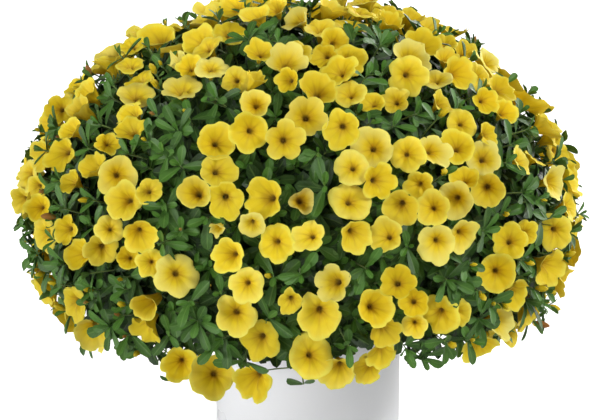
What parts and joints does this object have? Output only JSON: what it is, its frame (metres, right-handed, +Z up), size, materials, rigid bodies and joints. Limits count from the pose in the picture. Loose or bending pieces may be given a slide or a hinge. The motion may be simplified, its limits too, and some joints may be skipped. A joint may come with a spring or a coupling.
{
  "type": "potted calibrachoa",
  "caption": "Rounded mound of small yellow trumpet blooms and narrow green leaves, spilling over the rim of a plain white cylinder pot.",
  "frame": {"origin": "centre of the pot's underside, on the surface that the pot stands on", "axes": "+Z up along the pot's axis; -Y is the side first seen; +X to the right of it"},
  "size_m": [0.4739, 0.4802, 0.3793],
  "materials": {
    "pot": "smooth satin white",
    "potting_mix": "matt, crumbly",
    "foliage": "satin, finely hairy",
    "petals": "soft, velvety"
  },
  "bodies": {
    "root": {"pot": "pot", "potting_mix": "potting_mix", "leafy_stem_01": "foliage", "leafy_stem_02": "foliage", "leafy_stem_03": "foliage", "leafy_stem_04": "foliage", "leafy_stem_05": "foliage", "leafy_stem_06": "foliage", "leafy_stem_07": "foliage", "leafy_stem_08": "foliage", "leafy_stem_09": "foliage", "leafy_stem_10": "foliage", "leafy_stem_11": "foliage", "leafy_stem_12": "foliage", "bloom_bunch_01": "petals", "bloom_bunch_02": "petals", "bloom_bunch_03": "petals", "bloom_bunch_04": "petals", "bloom_bunch_05": "petals", "bloom_bunch_06": "petals", "bloom_bunch_07": "petals", "bloom_bunch_08": "petals", "bloom_bunch_09": "petals", "bloom_bunch_10": "petals", "bloom_bunch_11": "petals", "bloom_bunch_12": "petals", "bloom_bunch_13": "petals", "bloom_bunch_14": "petals", "bloom_bunch_15": "petals", "bloom_bunch_16": "petals", "bloom_bunch_17": "petals", "bloom_bunch_18": "petals", "bloom_bunch_19": "petals", "bloom_bunch_20": "petals", "bloom_bunch_21": "petals", "bloom_bunch_22": "petals", "bloom_bunch_23": "petals", "bloom_bunch_24": "petals", "bloom_bunch_25": "petals", "bloom_bunch_26": "petals", "bloom_bunch_27": "petals", "bloom_bunch_28": "petals", "bloom_bunch_29": "petals", "bloom_bunch_30": "petals", "bloom_bunch_31": "petals", "bloom_bunch_32": "petals", "bloom_bunch_33": "petals", "bloom_bunch_34": "petals", "bloom_bunch_35": "petals", "bloom_bunch_36": "petals", "bloom_bunch_37": "petals", "bloom_bunch_38": "petals", "bloom_bunch_39": "petals", "bloom_bunch_40": "petals", "bloom_bunch_41": "petals", "bloom_bunch_42": "petals", "bloom_bunch_43": "petals", "bloom_bunch_44": "petals", "bloom_bunch_45": "petals", "bloom_bunch_46": "petals"}
  },
  "joints": []
}
